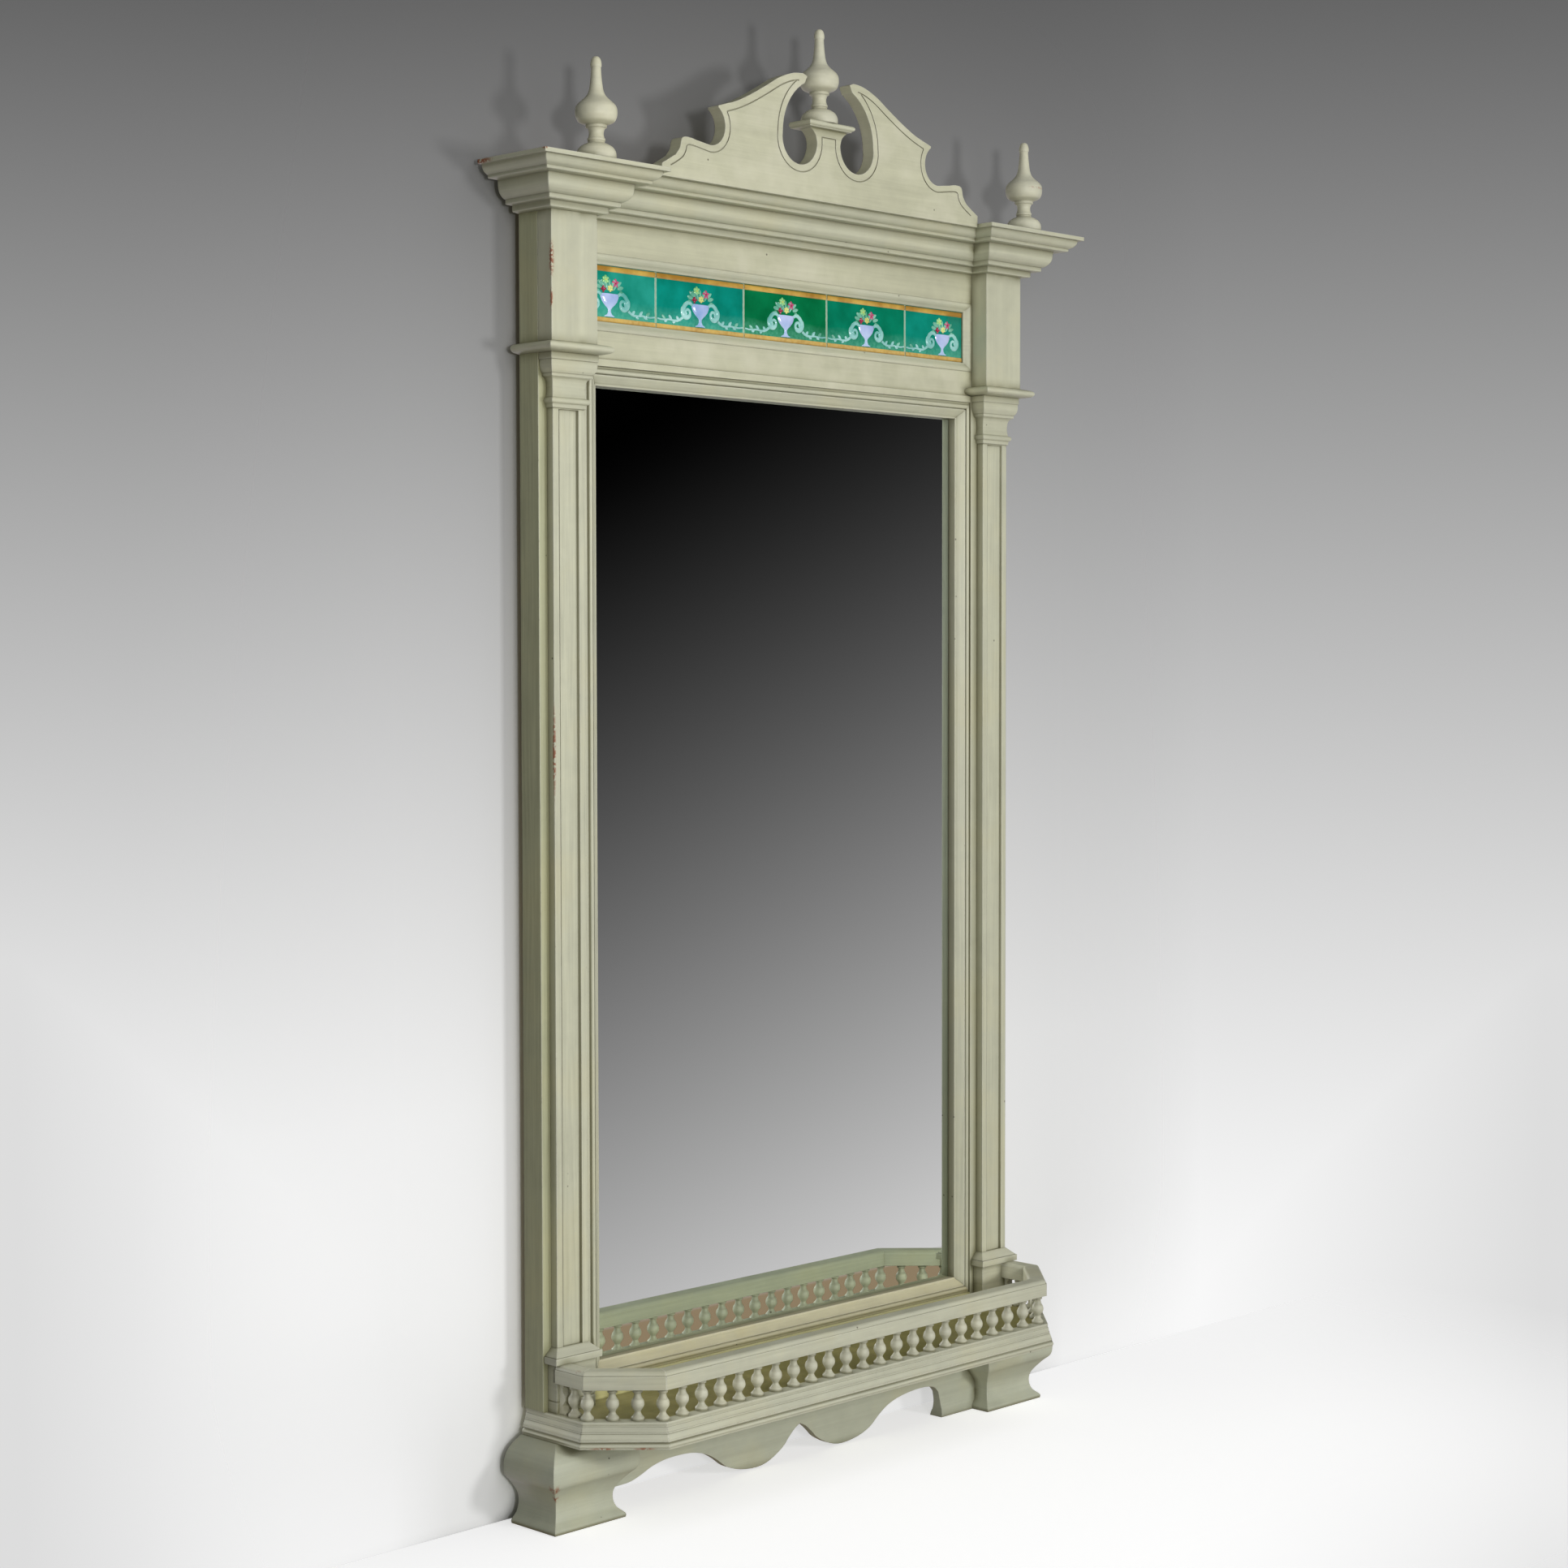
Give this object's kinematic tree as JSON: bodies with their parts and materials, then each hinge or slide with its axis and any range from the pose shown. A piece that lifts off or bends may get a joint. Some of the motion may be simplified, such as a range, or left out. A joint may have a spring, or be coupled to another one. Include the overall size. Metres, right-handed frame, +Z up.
{
  "type": "overmantel mirror",
  "caption": "Tall painted overmantel mirror with pilasters, tiled frieze, mitred cornice, scrolled pediment, turned finials and a railed shelf on ogee feet.",
  "frame": {"origin": "middle of the bottom of the whole piece, on the floor, half way between the wall face and the front of the shelf", "axes": "+X to the right seen from the front, +Y towards the wall, +Z up; the front faces -Y"},
  "size_m": [0.9854, 0.18, 1.842],
  "materials": {
    "paint": "worn sage green paint on softwood",
    "pine": "bare aged pine",
    "mirror": "silvered glass",
    "tile_glaze": "glossy majolica glaze"
  },
  "bodies": {
    "root": {"foot_left": "paint", "foot_right": "paint", "apron": "paint", "glue_blocks": "pine", "shelf_board": "paint", "tray_mould_front": "paint", "tray_mould_cant_left": "paint", "tray_mould_cant_right": "paint", "tray_mould_side_left": "paint", "tray_mould_side_right": "paint", "rail_front": "paint", "rail_cant_left": "paint", "rail_cant_right": "paint", "rail_side_left": "paint", "rail_side_right": "paint", "spindles_front": "paint", "spindles_left": "paint", "spindles_right": "paint", "gallery_end_left": "paint", "gallery_end_right": "paint", "side_board_left": "paint", "side_board_right": "paint", "stile_left": "paint", "stile_right": "paint", "bottom_rail": "paint", "top_rail": "paint", "frame_mould_top": "paint", "frame_mould_bottom": "paint", "frame_mould_left": "paint", "frame_mould_right": "paint", "mirror_glass": "mirror", "back_boards": "pine", "pilaster_base_left": "paint", "pilaster_base_right": "paint", "pilaster_shaft_left": "paint", "pilaster_shaft_right": "paint", "pilaster_capital_left": "paint", "pilaster_capital_right": "paint", "necking_left": "paint", "necking_right": "paint", "frieze_block_left": "paint", "frieze_block_right": "paint", "frieze_board": "paint", "tile_frame": "paint", "tile_1": "tile_glaze", "tile_2": "tile_glaze", "tile_3": "tile_glaze", "tile_4": "tile_glaze", "tile_5": "tile_glaze", "tile_backing": "pine", "cornice_centre": "paint", "cornice_left": "paint", "cornice_right": "paint", "top_board": "pine", "pediment_board": "paint", "pediment_cap": "paint", "finial_left": "paint", "finial_centre": "paint", "finial_right": "paint"}
  },
  "joints": []
}
